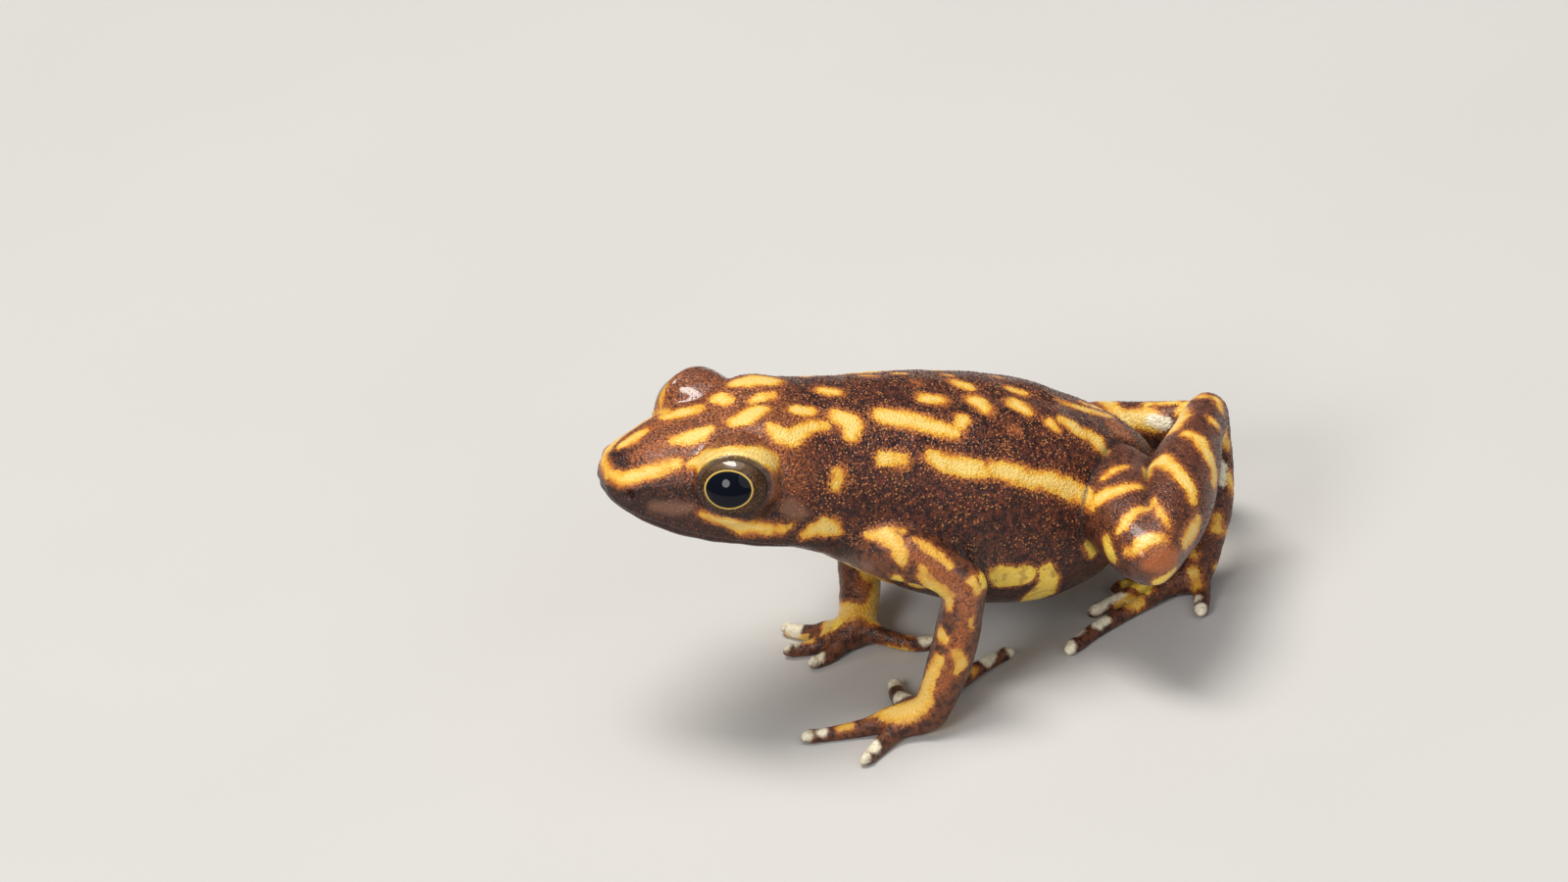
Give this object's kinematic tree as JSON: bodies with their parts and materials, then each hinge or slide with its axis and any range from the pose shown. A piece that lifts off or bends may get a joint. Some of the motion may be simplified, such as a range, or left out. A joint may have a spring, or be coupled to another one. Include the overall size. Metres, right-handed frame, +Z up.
{
  "type": "poison frog",
  "caption": "Small poison frog sitting alert with its head raised, dark brown with yellow-orange spots and side stripes; a still, life-size model.",
  "frame": {"origin": "middle of the object's box in X and Y, at the floor (z = 0) under the hands and feet", "axes": "+X to the frog's left, +Y behind the frog (the head points to -Y), +Z up"},
  "size_m": [0.0118, 0.0182, 0.0094],
  "materials": {
    "skin": "moist, slightly granular skin, dark brown with yellow-orange markings",
    "eye": "glossy dark eye with a thin gold ring round the pupil"
  },
  "bodies": {
    "root": {"head": "skin", "torso": "skin", "eye_left": "eye", "eye_right": "eye", "upper_arm_left": "skin", "upper_arm_right": "skin", "forearm_left": "skin", "forearm_right": "skin", "hand_left": "skin", "hand_right": "skin", "thigh_left": "skin", "thigh_right": "skin", "shank_left": "skin", "shank_right": "skin", "tarsus_left": "skin", "tarsus_right": "skin", "foot_left": "skin", "foot_right": "skin"}
  },
  "joints": []
}
